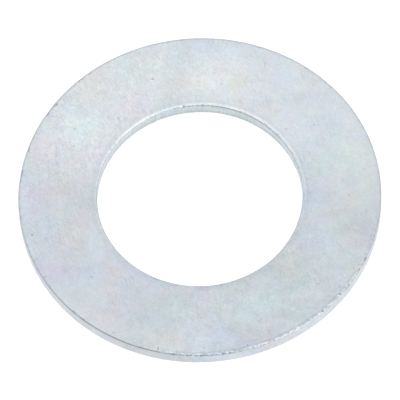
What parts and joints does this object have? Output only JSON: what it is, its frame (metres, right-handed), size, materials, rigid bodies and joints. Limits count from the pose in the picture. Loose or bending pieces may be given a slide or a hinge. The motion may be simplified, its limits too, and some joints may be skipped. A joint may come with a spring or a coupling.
{
  "type": "flat washer",
  "caption": "Thin stamped steel flat washer with a plain round bore and softly rounded edges, bright zinc plated.",
  "frame": {"origin": "centre of the underside, on the bore's axis", "axes": "+Z along the bore's axis, from the resting underside up to the other face; X and Y are equivalent"},
  "size_m": [0.03, 0.03, 0.0012],
  "materials": {
    "zinc_plated_steel": "bright zinc plating with a clear blue passivation, satin, with a faint rainbow mottle"
  },
  "bodies": {
    "root": {"flat_washer": "zinc_plated_steel"}
  },
  "joints": []
}
